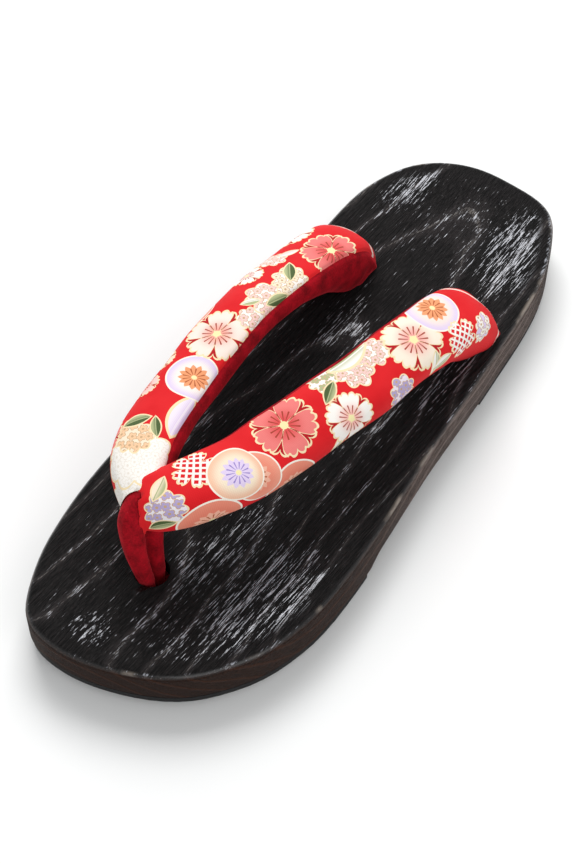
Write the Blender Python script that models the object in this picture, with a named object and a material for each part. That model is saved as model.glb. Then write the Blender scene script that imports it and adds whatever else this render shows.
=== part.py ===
"""A left geta sandal: a carved wooden sole on two rubber sheets, with a padded V strap held by a front thong.

Metres, +Z up. The sandal stands on the floor at z = 0 with its toe towards -Y, its heel towards +Y and its
outer side towards +X. The origin is on the floor, under the centre of the sole's outline.
"""

import math

import bmesh
import bpy
import numpy as np

# Driving sizes of the sole
LENGTH = 0.240
BALL_WIDTH = 0.0895
EDGE_HEIGHT = 0.0197
RIM_RADIUS = 0.0020
FOOT_CHAMFER = 0.0008
DISH_DEPTH = 0.0021
DISH_RUN = 0.026
TOE_SPRING = 0.0042
SPRING_RUN = 0.070
SPRING_POWER = 1.15

# Waist cut between the fore block and the heel block
WAIST_FROM_TOE = 0.087
WAIST_FROM_HEEL = 0.075
WAIST_START_Y = WAIST_FROM_TOE - LENGTH / 2
WAIST_END_Y = LENGTH / 2 - WAIST_FROM_HEEL
WAIST_SLOPE_RUN = 0.007
WAIST_FLAT_RUN = 0.032
WAIST_WALL = 0.0125
WAIST_WALL_REAR = 0.0158
WAIST_FILLET = 0.0025

# Rubber sheets
RUBBER_THICKNESS = 0.0030
RUBBER_INSET = 0.0004
RUBBER_CHAMFER = 0.0006
FIT_GAP = 0.0003

# Holes and the knots under the deck
FRONT_HOLE_X = -0.0050
FRONT_HOLE_FROM_TOE = 0.0397
FRONT_HOLE_Y = FRONT_HOLE_FROM_TOE - LENGTH / 2
FRONT_HOLE_RADIUS = 0.0058
REAR_HOLE_FROM_HEEL = 0.0620
REAR_HOLE_Y = LENGTH / 2 - REAR_HOLE_FROM_HEEL
REAR_HOLE_SPREAD = 0.0515
REAR_HOLE_MIDDLE_X = -0.0063
REAR_HOLE_RADIUS = 0.0040
KNOT_RADIUS = 0.0088
KNOT_HEIGHT = 0.0048
RECESS_MARGIN = 0.0010

# Padded strap
STRAP_WIDTH = 0.0220
STRAP_CROWN = 0.0073
STRAP_LINING = 0.0057
STRAP_RISE = 0.0260
INNER_BOW = 0.0118
OUTER_BOW = 0.0097
SECTION_POWER = 2.60
JOIN_HALF_WIDTH = 0.0072
JOIN_BEHIND_HOLE = 0.0048
JOIN_SIDEWAYS = -0.0050

# Front thong
THONG_HALF_WIDTH = 0.0039
THONG_HALF_DEPTH = 0.0036

# Mesh fineness
OUTLINE_STEPS = 60
TURN_RUN = 0.060
SECTION_SIDES = 22
ARM_STATIONS = 34
THONG_SIDES = 14
THONG_STATIONS = 46
ROUND_SIDES = 28
DECK_RINGS = (0.10, 0.24, 0.42, 0.62, 0.84)
SPINE_STOP = 0.040
ARM_CROWDING = 1.15
SOFT_EDGE_ANGLE = 60

# Sole outline from toe to heel. Columns: place as a share of the length, half width and sideways shift of the
# middle line as shares of the ball width. The half width is before the round ends are applied.
OUTLINE = (
    (0.00, 0.598, -0.078),
    (0.04, 0.616, -0.006),
    (0.12, 0.603, 0.051),
    (0.22, 0.568, 0.072),
    (0.33, 0.520, 0.065),
    (0.46, 0.474, 0.047),
    (0.60, 0.451, 0.023),
    (0.75, 0.459, -0.013),
    (0.88, 0.489, -0.035),
    (0.96, 0.488, -0.027),
    (1.00, 0.486, 0.009),
)
TOE_POWER = 2.2
HEEL_POWER = 3.0

# Strap arms from the join to the rear holes. Columns: place as a share of the run, outward bow as a share of
# the arm's bow, height of the inner and outer arm as shares from the deck up to the join, width of the inner
# and outer arm as shares of STRAP_WIDTH, thickness as a share of STRAP_CROWN and STRAP_LINING, outward lean
# of the inner and outer arm in degrees.
ARMS = (
    (-0.030, -0.24, 0.90, 0.90, 0.34, 0.38, 0.62, 0, 0),
    (-0.016, -0.13, 0.92, 0.93, 0.52, 0.58, 1.02, 0, 0),
    (0.000, 0.00, 0.94, 0.96, 0.62, 0.70, 1.22, 2, 2),
    (0.064, 0.57, 1.00, 1.04, 0.84, 0.92, 1.14, 6, 6),
    (0.131, 0.85, 1.00, 1.06, 0.91, 0.99, 1.03, 9, 9),
    (0.221, 0.97, 0.95, 1.00, 0.92, 1.00, 0.99, 11, 12),
    (0.311, 1.00, 0.89, 0.99, 0.92, 1.00, 0.97, 12, 14),
    (0.431, 0.95, 0.87, 0.98, 0.94, 1.00, 0.97, 14, 16),
    (0.566, 0.86, 0.82, 0.91, 0.96, 1.00, 0.98, 16, 16),
    (0.685, 0.67, 0.72, 0.85, 1.00, 1.00, 1.00, 18, 16),
    (0.805, 0.43, 0.58, 0.73, 1.04, 1.01, 1.00, 19, 15),
    (0.895, 0.23, 0.44, 0.56, 1.06, 1.02, 1.08, 16, 11),
    (0.955, 0.09, 0.28, 0.38, 1.06, 1.02, 1.12, 10, 7),
    (0.975, 0.05, 0.18, 0.27, 1.05, 1.02, 1.08, 7, 5),
    (0.988, 0.02, 0.06, 0.14, 1.04, 1.01, 1.04, 4, 3),
    (0.995, 0.01, -0.07, 0.00, 1.03, 1.00, 1.02, 2, 1),
    (1.000, 0.00, -0.26, -0.23, 1.02, 1.00, 1.00, 0, 0),
)
ARM_COLUMNS = {"inner": (1, 2, 4, 6, 7), "outer": (1, 3, 5, 6, 8)}

# Thong from the front hole, up before the join, over it and back to the hole. Columns: height as a share from
# the deck up to the join's middle, how far it lies towards the hole as a share, forward of that as a share of
# JOIN_HALF_WIDTH, width and depth as a share of the thong's own.
THONG = (
    (-0.10, 1.00, 0.37, 0.62),
    (0.00, 1.00, 0.38, 0.68),
    (0.12, 1.00, 0.46, 0.86),
    (0.32, 0.92, 0.58, 0.98),
    (0.56, 0.70, 0.76, 1.00),
    (0.78, 0.42, 0.86, 1.00),
    (0.97, 0.16, 0.86, 1.00),
    (1.09, 0.04, 0.60, 1.00),
    (1.14, 0.00, 0.16, 1.00),
    (1.12, 0.00, -0.34, 1.00),
    (1.03, 0.00, -0.76, 1.00),
    (0.87, 0.05, -0.94, 1.00),
    (0.66, 0.20, -0.90, 0.97),
    (0.42, 0.52, -0.78, 0.95),
    (0.17, 0.88, -0.56, 0.86),
    (0.00, 1.00, -0.40, 0.68),
    (-0.10, 1.00, -0.37, 0.62),
)


def remove_all_objects():
    for obj in list(bpy.data.objects):
        bpy.data.objects.remove(obj, do_unlink=True)


def smooth_value(places, values, place):
    """A smooth curve through (place, value) pairs, by cubic Hermite spans."""
    places = np.asarray(places, float)
    values = np.asarray(values, float)
    slopes = np.gradient(values, places)
    place = np.clip(place, places[0], places[-1])
    span = int(np.clip(np.searchsorted(places, place) - 1, 0, len(places) - 2))
    width = places[span + 1] - places[span]
    u = (place - places[span]) / width
    start = values[span] * (1 + 2 * u) * (1 - u) ** 2 + slopes[span] * width * u * (1 - u) ** 2
    end = values[span + 1] * u * u * (3 - 2 * u) + slopes[span + 1] * width * u * u * (u - 1)
    return float(start + end)


def column(table, index):
    return [row[index] for row in table]


def edge_point(share, side):
    """The sole's edge at a share of the length, on the outer side (side = 1) or the inner side (-1)."""
    end_distance = abs(2 * share - 1)
    power = TOE_POWER if share < 0.5 else HEEL_POWER
    roundness = max(0.0, 1 - end_distance ** power) ** (1 / power)
    half = smooth_value(column(OUTLINE, 0), column(OUTLINE, 1), share) * BALL_WIDTH * roundness
    middle = smooth_value(column(OUTLINE, 0), column(OUTLINE, 2), share) * BALL_WIDTH
    return np.array([middle + side * half, (share - 0.5) * LENGTH])


def edge_shares():
    """Shares of the length at which both edges get their points, closer together where the edges turn."""
    fine = 0.5 - 0.5 * np.cos(np.pi * np.arange(801) / 800)
    spread = np.zeros(801)
    for side in (1, -1):
        steps = np.diff([edge_point(share, side) for share in fine], axis=0)
        heading = np.unwrap(np.arctan2(steps[:, 1], steps[:, 0]))
        turning = np.abs(np.diff(heading, prepend=heading[0]))
        spread[1:] += np.cumsum(np.linalg.norm(steps, axis=1) + TURN_RUN * turning)
    return np.interp(np.linspace(0, spread[-1], OUTLINE_STEPS + 1), spread, fine)


def edge_side(side):
    """Points of one side from toe tip to heel tip."""
    return np.array([edge_point(share, side) for share in edge_shares()])


def outline():
    """The closed outline, anticlockwise from the toe tip, moved so that its box is centred on x = 0."""
    outer = edge_side(1)
    inner = edge_side(-1)
    loop = np.concatenate([outer, inner[-2:0:-1]])
    loop[:, 0] -= (loop[:, 0].max() + loop[:, 0].min()) / 2
    return loop


def inset_loop(loop, distance):
    """The outline moved inwards along its own normals."""
    along = np.roll(loop, -1, axis=0) - np.roll(loop, 1, axis=0)
    along /= np.linalg.norm(along, axis=1)[:, None]
    outward = np.stack([along[:, 1], -along[:, 0]], axis=1)
    return loop - outward * distance


def spine_loop(loop, share):
    """The outline drawn in towards a middle line that stops short of both ends."""
    half = len(loop) // 2
    middle = (loop + np.roll(loop[::-1], 1, axis=0)) / 2
    y = loop[:, 1] * (1 - 2 * SPINE_STOP / LENGTH)
    order = np.argsort(middle[: half + 1, 1])
    x = np.interp(y, middle[: half + 1, 1][order], middle[: half + 1, 0][order])
    spine = np.stack([x, y], axis=1)
    return loop + (spine - loop) * share


def edge_distance(loop, point):
    """Distance from a point to the outline."""
    start = loop
    step = np.roll(loop, -1, axis=0) - loop
    u = np.clip(((point - start) * step).sum(axis=1) / (step * step).sum(axis=1), 0, 1)
    return float(np.linalg.norm(start + step * u[:, None] - point, axis=1).min())


def deck_height(loop, point):
    """Height of the dished deck inside the rim."""
    u = min(max((edge_distance(loop, point) - RIM_RADIUS) / DISH_RUN, 0), 1)
    return EDGE_HEIGHT - DISH_DEPTH * u * u * (3 - 2 * u)


def toe_rise(y):
    """How far the underside has risen from the floor, towards the toe."""
    u = max(0.0, (-LENGTH / 2 + SPRING_RUN - y) / SPRING_RUN)
    return TOE_SPRING * u ** SPRING_POWER


def add_ring(bm, loop, heights):
    return [bm.verts.new((x, y, z)) for (x, y), z in zip(loop, heights)]


def bridge(bm, lower, upper):
    """Faces between two rings whose points run anticlockwise, the lower one first, facing out."""
    count = len(lower)
    for i in range(count):
        j = (i + 1) % count
        bm.faces.new((lower[i], lower[j], upper[j], upper[i]))


def close_across(bm, ring, facing_up):
    """Fill a ring with strips that run from its outer side to its inner side."""
    count = len(ring)
    half = count // 2
    for i in range(half):
        a = ring[i]
        b = ring[i + 1]
        c = ring[(count - i - 1) % count]
        d = ring[(count - i) % count]
        corners = [a, b, c, d]
        face = [v for k, v in enumerate(corners) if v not in corners[:k]]
        bm.faces.new(face if facing_up else face[::-1])


def make_object(name, bm, material, smooth_angle=35):
    bmesh.ops.triangulate(bm, faces=[f for f in bm.faces if len(f.verts) > 4])
    mesh = bpy.data.meshes.new(name)
    bm.to_mesh(mesh)
    bm.free()
    mesh.shade_smooth()
    mesh.set_sharp_from_angle(angle=math.radians(smooth_angle))
    mesh.materials.append(material)
    obj = bpy.data.objects.new(name, mesh)
    bpy.context.collection.objects.link(obj)
    return obj


def make_material(name, color, roughness):
    material = bpy.data.materials.new(name)
    material.use_nodes = True
    shader = material.node_tree.nodes["Principled BSDF"]
    shader.inputs["Base Color"].default_value = (*color, 1)
    shader.inputs["Roughness"].default_value = roughness
    shader.inputs["Metallic"].default_value = 0
    return material


def boolean(obj, cutter, operation):
    modifier = obj.modifiers.new(cutter.name, "BOOLEAN")
    modifier.object = cutter
    modifier.operation = operation
    modifier.solver = "EXACT"
    cutter.hide_render = True
    cutter.display_type = "WIRE"


def prism_cutter(name, profile, half_span, material):
    """A cutter with a (y, z) profile, extruded both ways along x."""
    bm = bmesh.new()
    near = [bm.verts.new((-half_span, y, z)) for y, z in profile]
    face = bm.faces.new(near)
    far = bmesh.ops.extrude_face_region(bm, geom=[face])
    moved = [item for item in far["geom"] if isinstance(item, bmesh.types.BMVert)]
    bmesh.ops.translate(bm, verts=moved, vec=(2 * half_span, 0, 0))
    bmesh.ops.recalc_face_normals(bm, faces=bm.faces)
    return make_object(name, bm, material)


def round_piece(name, rows, centre, material):
    """A turned solid about a vertical axis. Rows are (radius, z) from the bottom up."""
    angles = [2 * math.pi * i / ROUND_SIDES for i in range(ROUND_SIDES)]
    circle = np.array([(math.cos(angle), math.sin(angle)) for angle in angles])
    bm = bmesh.new()
    rings = [add_ring(bm, circle * radius + centre, [z] * ROUND_SIDES) for radius, z in rows]
    for lower, upper in zip(rings, rings[1:]):
        bridge(bm, lower, upper)
    bm.faces.new(rings[0][::-1])
    bm.faces.new(rings[-1])
    return make_object(name, bm, material)


def fillet(corner, before, after, radius, steps=3):
    """Points of a rounded corner between two straight runs."""
    corner = np.array(corner, float)
    towards_before = (np.array(before) - corner) / np.linalg.norm(np.array(before) - corner)
    towards_after = (np.array(after) - corner) / np.linalg.norm(np.array(after) - corner)
    start = corner + towards_before * radius
    end = corner + towards_after * radius
    points = []
    for i in range(steps + 1):
        u = i / steps
        points.append(tuple((1 - u) ** 2 * start + 2 * u * (1 - u) * corner + u * u * end))
    return points


def waist_profile():
    """Side profile of the cut: a sloped front, a flat roof that comes down to the rear, an upright back."""
    below = -RUBBER_THICKNESS
    roof = EDGE_HEIGHT - WAIST_WALL
    rear_roof = EDGE_HEIGHT - WAIST_WALL_REAR
    slope_foot = (WAIST_START_Y, RUBBER_THICKNESS)
    slope_top = (WAIST_START_Y + WAIST_SLOPE_RUN, roof)
    flat_end = (slope_top[0] + WAIST_FLAT_RUN, roof)
    rear_top = (WAIST_END_Y, rear_roof)
    profile = [(WAIST_START_Y, below), slope_foot]
    profile += fillet(slope_top, slope_foot, flat_end, WAIST_FILLET)
    profile.append(flat_end)
    profile += [rear_top, (WAIST_END_Y, below)]
    return profile


def wood_bottom(y):
    return toe_rise(y) + RUBBER_THICKNESS + FIT_GAP


def sole_body(name, material, lift=0.0):
    """The whole sole before its cuts. A lift raises the deck, for a cutter that keeps clear of it."""
    loop = outline()
    bm = bmesh.new()
    foot = inset_loop(loop, FOOT_CHAMFER)
    rings = [
        add_ring(bm, foot, [wood_bottom(y) for _, y in foot]),
        add_ring(bm, loop, [wood_bottom(y) + FOOT_CHAMFER for _, y in loop]),
        add_ring(bm, loop, [EDGE_HEIGHT - RIM_RADIUS + lift] * len(loop)),
    ]
    for degrees in (30, 60, 90):
        angle = math.radians(degrees)
        inner = inset_loop(loop, RIM_RADIUS * (1 - math.cos(angle)))
        height = EDGE_HEIGHT - RIM_RADIUS * (1 - math.sin(angle)) + lift
        rings.append(add_ring(bm, inner, [height] * len(inner)))
    rim = inset_loop(loop, RIM_RADIUS)
    for share in DECK_RINGS:
        inner = spine_loop(rim, share)
        rings.append(add_ring(bm, inner, [deck_height(loop, point) + lift for point in inner]))
    for lower, upper in zip(rings, rings[1:]):
        bridge(bm, lower, upper)
    close_across(bm, rings[0], facing_up=False)
    close_across(bm, rings[-1], facing_up=True)
    return make_object(name, bm, material)


def make_sole(material, guide):
    sole = sole_body("wooden_sole", material)
    boolean(sole, prism_cutter("waist_cut", waist_profile(), BALL_WIDTH, guide), "DIFFERENCE")
    for name, x, y, radius in hole_list():
        boolean(sole, hole_cutter(name + "_cut", x, y, radius, guide), "DIFFERENCE")
    return sole


def hole_list():
    """Name, place and radius of each strap hole."""
    half = REAR_HOLE_SPREAD / 2
    return (
        ("front_hole", FRONT_HOLE_X, FRONT_HOLE_Y, FRONT_HOLE_RADIUS),
        ("inner_hole", REAR_HOLE_MIDDLE_X - half, REAR_HOLE_Y, REAR_HOLE_RADIUS),
        ("outer_hole", REAR_HOLE_MIDDLE_X + half, REAR_HOLE_Y, REAR_HOLE_RADIUS),
    )


def recess_roof(y):
    return wood_bottom(y) + KNOT_HEIGHT + 2 * FIT_GAP


def hole_cutter(name, x, y, radius, material):
    """A through hole with a wider recess below for the knot."""
    wide = KNOT_RADIUS + RECESS_MARGIN
    roof = recess_roof(y)
    rows = ((wide, -RUBBER_THICKNESS), (wide, roof), (radius, roof), (radius, 2 * EDGE_HEIGHT))
    return round_piece(name, rows, (x, y), material)


def make_outsole(name, start_y, end_y, material, guide):
    """A rubber sheet with the outline of the block above it."""
    loop = inset_loop(outline(), RUBBER_INSET)
    foot = inset_loop(loop, RUBBER_CHAMFER)
    bm = bmesh.new()
    rings = [
        add_ring(bm, foot, [toe_rise(y) for _, y in foot]),
        add_ring(bm, loop, [toe_rise(y) + RUBBER_CHAMFER for _, y in loop]),
        add_ring(bm, loop, [toe_rise(y) + RUBBER_THICKNESS for _, y in loop]),
    ]
    for lower, upper in zip(rings, rings[1:]):
        bridge(bm, lower, upper)
    close_across(bm, rings[0], facing_up=False)
    close_across(bm, rings[-1], facing_up=True)
    sheet = make_object(name, bm, material)
    low = -EDGE_HEIGHT
    high = EDGE_HEIGHT
    keep = [(start_y, low), (end_y, low), (end_y, high), (start_y, high)]
    boolean(sheet, prism_cutter(name + "_keep", keep, BALL_WIDTH, guide), "INTERSECT")
    return sheet


def join_point():
    """Middle of the strap where its arms meet."""
    return np.array([FRONT_HOLE_X + JOIN_SIDEWAYS, FRONT_HOLE_Y + JOIN_BEHIND_HOLE, EDGE_HEIGHT + STRAP_RISE])


def arm_row(arm, share):
    """Bow, height, width, thickness and lean of an arm at a share of its run."""
    return [smooth_value(column(ARMS, 0), column(ARMS, k), share) for k in ARM_COLUMNS[arm]]


def arm_centre(arm, share, deck_z):
    """Middle of the strap's section at a share of the run from the join to the rear hole."""
    side = -1 if arm == "inner" else 1
    reach = INNER_BOW if arm == "inner" else OUTER_BOW
    start = join_point()
    end = np.array([REAR_HOLE_MIDDLE_X + side * REAR_HOLE_SPREAD / 2, REAR_HOLE_Y, deck_z])
    bow, height = arm_row(arm, share)[:2]
    x, y = start[:2] + (end - start)[:2] * share
    return np.array([x + side * bow * reach, y, deck_z + (start[2] - deck_z) * height])


def arm_section(width, thickness, lean, side, along):
    """Offsets of the section's points from its middle, with the width and thickness as shares."""
    plan = np.array([along[0], along[1], 0]) / math.hypot(along[0], along[1])
    outward = np.array([plan[1], -plan[0], 0]) * side
    up = np.cross(outward, along) * side
    turn = math.radians(lean)
    wide = outward * math.cos(turn) - up * math.sin(turn)
    high = up * math.cos(turn) + outward * math.sin(turn)
    offsets = []
    for i in range(SECTION_SIDES):
        angle = 2 * math.pi * i / SECTION_SIDES
        c = math.cos(angle)
        s = math.sin(angle)
        depth = thickness * (STRAP_CROWN if s > 0 else STRAP_LINING)
        x = width * STRAP_WIDTH / 2 * math.copysign(abs(c) ** (2 / SECTION_POWER), c)
        z = depth * math.copysign(abs(s) ** (2 / SECTION_POWER), s)
        offsets.append(wide * x + high * z)
    return offsets


def loft(bm, rings):
    """A closed tube through rings of vertices, with flat ends."""
    for lower, upper in zip(rings, rings[1:]):
        bridge(bm, lower, upper)
    bm.faces.new(rings[0][::-1])
    bm.faces.new(rings[-1])
    bmesh.ops.recalc_face_normals(bm, faces=bm.faces)


def make_arm(name, arm, material):
    """One padded arm, from the join to just below the deck at its rear hole."""
    side = -1 if arm == "inner" else 1
    hole = np.array([REAR_HOLE_MIDDLE_X + side * REAR_HOLE_SPREAD / 2, REAR_HOLE_Y])
    deck_z = deck_height(outline(), hole)
    first = ARMS[0][0]
    shares = [1 - (1 - first) * (1 - i / (ARM_STATIONS - 1)) ** ARM_CROWDING for i in range(ARM_STATIONS)]
    centres = np.array([arm_centre(arm, share, deck_z) for share in shares])
    tangents = np.gradient(centres, axis=0)
    bm = bmesh.new()
    rings = []
    for share, centre, along in zip(shares, centres, tangents):
        width, thickness, lean = arm_row(arm, share)[2:]
        along = along / np.linalg.norm(along)
        offsets = arm_section(width, thickness, lean, side, along)
        rings.append([bm.verts.new(centre + offset) for offset in offsets])
    loft(bm, rings)
    return make_object(name, bm, material, SOFT_EDGE_ANGLE)


def smooth_path(rows, count):
    """Evenly spaced rows along a Catmull-Rom curve through rows whose first three values are a place."""
    rows = np.array(rows, float)
    ends = np.concatenate([[2 * rows[0] - rows[1]], rows, [2 * rows[-1] - rows[-2]]])
    fine = []
    for p0, p1, p2, p3 in zip(ends, ends[1:], ends[2:], ends[3:]):
        for u in np.linspace(0, 1, 12, endpoint=False):
            bend = (2 * p0 - 5 * p1 + 4 * p2 - p3) * u * u + (3 * p1 - p0 - 3 * p2 + p3) * u ** 3
            fine.append(p1 + (p2 - p0) * u / 2 + bend / 2)
    fine = np.array(fine + [rows[-1]])
    run = np.concatenate([[0], np.cumsum(np.linalg.norm(np.diff(fine[:, :3], axis=0), axis=1))])
    wanted = np.linspace(0, run[-1], count)
    return np.stack([np.interp(wanted, run, fine[:, k]) for k in range(fine.shape[1])], axis=1)


def thong_rows():
    """Place and thickness share of the thong at each row of its table, and where it ends inside the knot."""
    join = join_point()
    hole = np.array([FRONT_HOLE_X, FRONT_HOLE_Y])
    hole = np.append(hole, deck_height(outline(), hole))
    rows = []
    for height, towards_hole, forward, share in THONG:
        x, y = join[:2] + (hole - join)[:2] * towards_hole
        z = hole[2] + (join[2] - hole[2]) * height
        rows.append((x, y - forward * JOIN_HALF_WIDTH, z, share))
    knot_z = wood_bottom(FRONT_HOLE_Y) + FIT_GAP + KNOT_HEIGHT / 2
    first = (*rows[0][:2], knot_z, rows[0][3])
    last = (*rows[-1][:2], knot_z, rows[-1][3])
    return [first, *rows, last]


def thong_tube(name, margin, material):
    """The thong's tube, made thicker by a margin."""
    path = smooth_path(thong_rows(), THONG_STATIONS)
    tangents = np.gradient(path[:, :3], axis=0)
    bm = bmesh.new()
    rings = []
    for (x, y, z, share), along in zip(path, tangents):
        along = along / np.linalg.norm(along)
        across = np.array([1.0, 0.0, 0.0]) - along * along[0]
        across /= np.linalg.norm(across)
        out = np.cross(along, across)
        ring = []
        for i in range(THONG_SIDES):
            angle = 2 * math.pi * i / THONG_SIDES
            wide = across * math.cos(angle) * (share * THONG_HALF_WIDTH + margin)
            deep = out * math.sin(angle) * (share * THONG_HALF_DEPTH + margin)
            ring.append(bm.verts.new(wide + deep + (x, y, z)))
        rings.append(ring)
    loft(bm, rings)
    return make_object(name, bm, material, SOFT_EDGE_ANGLE)


def knot_rows(y, stem_radius=None, stem_top=None):
    """A flattened knot in its recess, with a cord up through the hole where one is given."""
    middle = wood_bottom(y) + FIT_GAP + KNOT_HEIGHT / 2
    rows = []
    for degrees in (-75, -45, -15, 15, 45):
        angle = math.radians(degrees)
        rows.append((KNOT_RADIUS * math.cos(angle), middle + KNOT_HEIGHT / 2 * math.sin(angle)))
    if stem_radius:
        shoulder = math.sqrt(1 - (stem_radius / KNOT_RADIUS) ** 2)
        rows.append((stem_radius, middle + KNOT_HEIGHT / 2 * shoulder))
        rows.append((stem_radius, stem_top))
    return rows


def make_thong(material, guide):
    thong = thong_tube("front_thong", 0.0, material)
    knot = round_piece("thong_knot", knot_rows(FRONT_HOLE_Y), (FRONT_HOLE_X, FRONT_HOLE_Y), guide)
    boolean(thong, knot, "UNION")
    return thong


def make_strap(material, guide):
    strap = make_arm("strap", "inner", material)
    boolean(strap, make_arm("outer_arm", "outer", guide), "UNION")
    boolean(strap, sole_body("deck_clearance", guide, lift=FIT_GAP), "DIFFERENCE")
    boolean(strap, thong_tube("thong_groove", FIT_GAP, guide), "DIFFERENCE")
    return strap


def make_rear_cord(name, side, material):
    """A cord from just under the strap's end to the knot in the recess below."""
    x = REAR_HOLE_MIDDLE_X + side * REAR_HOLE_SPREAD / 2
    top = deck_height(outline(), np.array([x, REAR_HOLE_Y])) - FIT_GAP
    rows = knot_rows(REAR_HOLE_Y, REAR_HOLE_RADIUS - FIT_GAP, top)
    return round_piece(name, rows, (x, REAR_HOLE_Y), material)


def main():
    remove_all_objects()
    wood = make_material("burnt_wood", (0.010, 0.010, 0.011), 0.42)
    rubber = make_material("black_rubber", (0.015, 0.015, 0.015), 0.80)
    cloth = make_material("printed_cloth", (0.72, 0.02, 0.03), 0.70)
    velvet = make_material("red_velvet", (0.33, 0.008, 0.015), 0.90)
    cord = make_material("cotton_cord", (0.55, 0.50, 0.42), 0.85)
    guide = make_material("guide", (0.5, 0.5, 0.5), 0.5)
    make_sole(wood, guide)
    make_outsole("fore_outsole", -LENGTH, WAIST_START_Y, rubber, guide)
    make_outsole("heel_outsole", WAIST_END_Y, LENGTH, rubber, guide)
    make_strap(cloth, guide)
    make_thong(velvet, guide)
    make_rear_cord("inner_rear_cord", -1, cord)
    make_rear_cord("outer_rear_cord", 1, cord)


main()
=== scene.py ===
"""Looks of a left geta sandal: a burnt and brushed wooden sole on rubber sheets, and a padded strap in
printed cloth and velvet, held at the front by a velvet thong. Metres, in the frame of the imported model."""

import math

import bmesh
import bpy
import numpy as np
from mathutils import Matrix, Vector
from mathutils.bvhtree import BVHTree


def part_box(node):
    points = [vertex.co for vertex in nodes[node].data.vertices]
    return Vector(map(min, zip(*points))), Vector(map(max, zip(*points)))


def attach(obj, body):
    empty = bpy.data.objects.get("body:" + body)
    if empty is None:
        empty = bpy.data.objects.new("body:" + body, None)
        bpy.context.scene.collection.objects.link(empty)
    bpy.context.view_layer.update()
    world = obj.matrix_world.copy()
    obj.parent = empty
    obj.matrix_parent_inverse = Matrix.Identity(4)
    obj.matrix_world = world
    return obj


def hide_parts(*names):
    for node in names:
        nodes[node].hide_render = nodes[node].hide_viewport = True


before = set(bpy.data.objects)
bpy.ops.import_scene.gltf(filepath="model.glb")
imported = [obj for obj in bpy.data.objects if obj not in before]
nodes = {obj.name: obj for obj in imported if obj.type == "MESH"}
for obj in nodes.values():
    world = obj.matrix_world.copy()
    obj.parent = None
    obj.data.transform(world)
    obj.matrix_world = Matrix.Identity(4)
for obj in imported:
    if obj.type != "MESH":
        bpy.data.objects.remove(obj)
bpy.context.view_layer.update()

MM = 0.001

# Camera: the place it has in the photograph, aimed at this one sandal with a longer lens
CAMERA_PLACE = (0.21897, -0.30165, 0.55365)
CAMERA_AIM = (-0.0050, -0.0106, 0.0134)
CAMERA_LENS = 124.0

# Strap sizes from the part's source, about the height of the deck at its holes, and a height under which a
# point is no longer on the deck but inside a hole
EDGE_HEIGHT = 0.0197
FRONT_HOLE = (-0.0050, -0.0803)
REAR_HOLE_Y = 0.0580
REAR_HOLE_SPREAD = 0.0515
REAR_HOLE_MIDDLE_X = -0.0063
DECK_AT_REAR_HOLES = 0.0184
DECK_AT_FRONT_HOLE = 0.0176
INSIDE_A_HOLE = 0.0150
STRAP_WIDTH = 0.0220
STRAP_CROWN = 0.0073
STRAP_LINING = 0.0057
STRAP_RISE = 0.0260
SECTION_POWER = 2.60
BOW = {"inner": 0.0118, "outer": 0.0097}
JOIN_HALF_WIDTH = 0.0072
JOIN = (-0.0100, -0.0755, EDGE_HEIGHT + STRAP_RISE)

# Arms from the join to the rear holes. Columns: share of the run, bow, height of the inner and outer arm,
# width of the inner and outer arm, thickness, lean of the inner and outer arm in degrees.
ARMS = (
    (-0.030, -0.24, 0.90, 0.90, 0.34, 0.38, 0.62, 0, 0),
    (-0.016, -0.13, 0.92, 0.93, 0.52, 0.58, 1.02, 0, 0),
    (0.000, 0.00, 0.94, 0.96, 0.62, 0.70, 1.22, 2, 2),
    (0.064, 0.57, 1.00, 1.04, 0.84, 0.92, 1.14, 6, 6),
    (0.131, 0.85, 1.00, 1.06, 0.91, 0.99, 1.03, 9, 9),
    (0.221, 0.97, 0.95, 1.00, 0.92, 1.00, 0.99, 11, 12),
    (0.311, 1.00, 0.89, 0.99, 0.92, 1.00, 0.97, 12, 14),
    (0.431, 0.95, 0.87, 0.98, 0.94, 1.00, 0.97, 14, 16),
    (0.566, 0.86, 0.82, 0.91, 0.96, 1.00, 0.98, 16, 16),
    (0.685, 0.67, 0.72, 0.85, 1.00, 1.00, 1.00, 18, 16),
    (0.805, 0.43, 0.58, 0.73, 1.04, 1.01, 1.00, 19, 15),
    (0.895, 0.23, 0.44, 0.56, 1.06, 1.02, 1.08, 16, 11),
    (0.955, 0.09, 0.28, 0.38, 1.06, 1.02, 1.12, 10, 7),
    (0.975, 0.05, 0.18, 0.27, 1.05, 1.02, 1.08, 7, 5),
    (0.988, 0.02, 0.06, 0.14, 1.04, 1.01, 1.04, 4, 3),
    (0.995, 0.01, -0.07, 0.00, 1.03, 1.00, 1.02, 2, 1),
    (1.000, 0.00, -0.26, -0.23, 1.02, 1.00, 1.00, 0, 0),
)
ARM_COLUMNS = {"inner": (1, 2, 4, 6, 7), "outer": (1, 3, 5, 6, 8)}

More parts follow.
